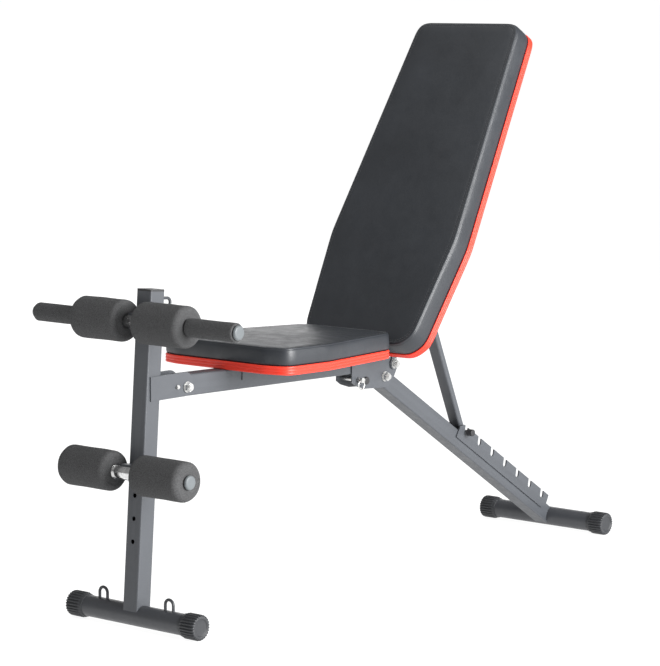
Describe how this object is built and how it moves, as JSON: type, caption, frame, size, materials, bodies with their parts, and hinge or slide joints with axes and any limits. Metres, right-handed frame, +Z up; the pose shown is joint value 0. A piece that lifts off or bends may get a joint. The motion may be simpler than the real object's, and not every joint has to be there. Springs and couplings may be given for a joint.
{
  "type": "decline sit up bench",
  "caption": "Folding sit up and weight bench with reclining padded backrest, padded seat, slotted support rack, foam leg rollers and rope loops.",
  "frame": {"origin": "bottom centre of the bounding box, on the floor midway along the bench", "axes": "+Y from the roller end towards the backrest end, +X to the right when looking along +Y, +Z up"},
  "size_m": [0.538, 1.4158, 1.146],
  "materials": {
    "frame_paint": "semi-gloss dark grey powder coat",
    "bright_zinc": "bright zinc plate",
    "chrome_bar": "polished chrome",
    "black_plastic": "fine satin moulded",
    "grey_plastic": "smooth satin moulded",
    "foam": "open-cell matt foam",
    "vinyl": "fine grain black vinyl",
    "red_trim": "smooth red band",
    "board": "black covered board"
  },
  "bodies": {
    "main_frame": {"main_beam": "frame_paint", "beam_plug": "black_plastic", "rear_hinge_bracket": "frame_paint", "rear_hinge_bolt": "bright_zinc", "rear_hinge_nut": "bright_zinc", "backrest_pivot_bolt": "bright_zinc", "backrest_pivot_nut": "bright_zinc", "bracket_bumpers": "black_plastic", "seat_support_front": "frame_paint", "seat_support_rear": "frame_paint", "seat_board": "board", "seat_trim": "red_trim", "seat_cushion": "vinyl"},
    "rear_pin": {"rear_lock_pin": "bright_zinc", "rear_pin_ring": "bright_zinc"},
    "front_pin": {"front_lock_pin": "bright_zinc"},
    "front_post": {"front_post": "frame_paint", "post_cap": "black_plastic", "front_bracket": "frame_paint", "front_fold_bolt": "bright_zinc", "front_fold_nut": "bright_zinc", "front_foot_tube": "frame_paint", "front_foot_cap_right": "black_plastic", "front_foot_cap_left": "black_plastic", "rope_loop_right": "frame_paint", "rope_loop_left": "frame_paint", "rope_eye": "frame_paint", "upper_bar_saddle": "frame_paint", "lower_bar_saddle": "frame_paint", "upper_roller_bar": "chrome_bar", "lower_roller_bar": "chrome_bar", "upper_bar_plugs": "grey_plastic", "lower_bar_plugs": "grey_plastic", "lower_stop_rings": "chrome_bar", "upper_grip_right": "foam", "upper_grip_left": "foam"},
    "upper_roller_r": {"upper_roller_right": "foam"},
    "upper_roller_l": {"upper_roller_left": "foam"},
    "lower_roller_r": {"lower_roller_right": "foam"},
    "lower_roller_l": {"lower_roller_left": "foam"},
    "rear_leg": {"leg_tube": "frame_paint", "leg_plug": "black_plastic", "rack_plate_right": "frame_paint", "rack_plate_left": "frame_paint", "rear_foot_tube": "frame_paint", "rear_foot_cap_right": "black_plastic", "rear_foot_cap_left": "black_plastic"},
    "strut": {"strut_tube": "frame_paint", "strut_rod": "bright_zinc", "strut_rod_caps": "black_plastic"},
    "backrest": {"backrest_frame": "frame_paint", "backrest_plug": "black_plastic", "backrest_plates": "frame_paint", "backrest_ears": "frame_paint", "strut_clevis": "frame_paint", "clevis_bolt": "bright_zinc", "clevis_nut": "bright_zinc", "backrest_board": "board", "backrest_trim": "red_trim", "backrest_cushion": "vinyl"}
  },
  "joints": [
    {"name": "post_fold", "type": "hinge", "parent": "main_frame", "child": "front_post", "pos_m": [0, -0.5264, 0.456], "axis": [1, 0, 0], "range_deg": [0, 80]},
    {"name": "leg_fold", "type": "hinge", "parent": "main_frame", "child": "rear_leg", "pos_m": [0, 0.0756, 0.412], "axis": [-1, 0, 0], "range_deg": [0, 90]},
    {"name": "backrest_recline", "type": "hinge", "parent": "main_frame", "child": "backrest", "pos_m": [0, 0.1026, 0.437], "axis": [-1, 0, 0], "range_deg": [0, 60]},
    {"name": "strut_swing", "type": "hinge", "parent": "rear_leg", "child": "strut", "pos_m": [0, 0.35747, 0.25886], "axis": [-1, 0, 0], "range_deg": [0, 90]},
    {"name": "upper_roller_right_spin", "type": "hinge", "parent": "front_post", "child": "upper_roller_r", "pos_m": [0, -0.6459, 0.592], "axis": [1, 0, 0], "continuous": true},
    {"name": "upper_roller_left_spin", "type": "hinge", "parent": "front_post", "child": "upper_roller_l", "pos_m": [0, -0.6459, 0.592], "axis": [1, 0, 0], "continuous": true},
    {"name": "lower_roller_right_spin", "type": "hinge", "parent": "front_post", "child": "lower_roller_r", "pos_m": [0, -0.6684, 0.304], "axis": [1, 0, 0], "continuous": true},
    {"name": "lower_roller_left_spin", "type": "hinge", "parent": "front_post", "child": "lower_roller_l", "pos_m": [0, -0.6684, 0.304], "axis": [1, 0, 0], "continuous": true},
    {"name": "front_pin_pull", "type": "slide", "parent": "front_post", "child": "front_pin", "axis": [-1, 0, 0], "range_m": [0, 0.046]},
    {"name": "rear_pin_pull", "type": "slide", "parent": "main_frame", "child": "rear_pin", "axis": [1, 0, 0], "range_m": [0, 0.045]}
  ],
  "couplings": [
    {"joint": "strut_swing", "follows": "backrest_recline", "ratio": 1.43}
  ]
}
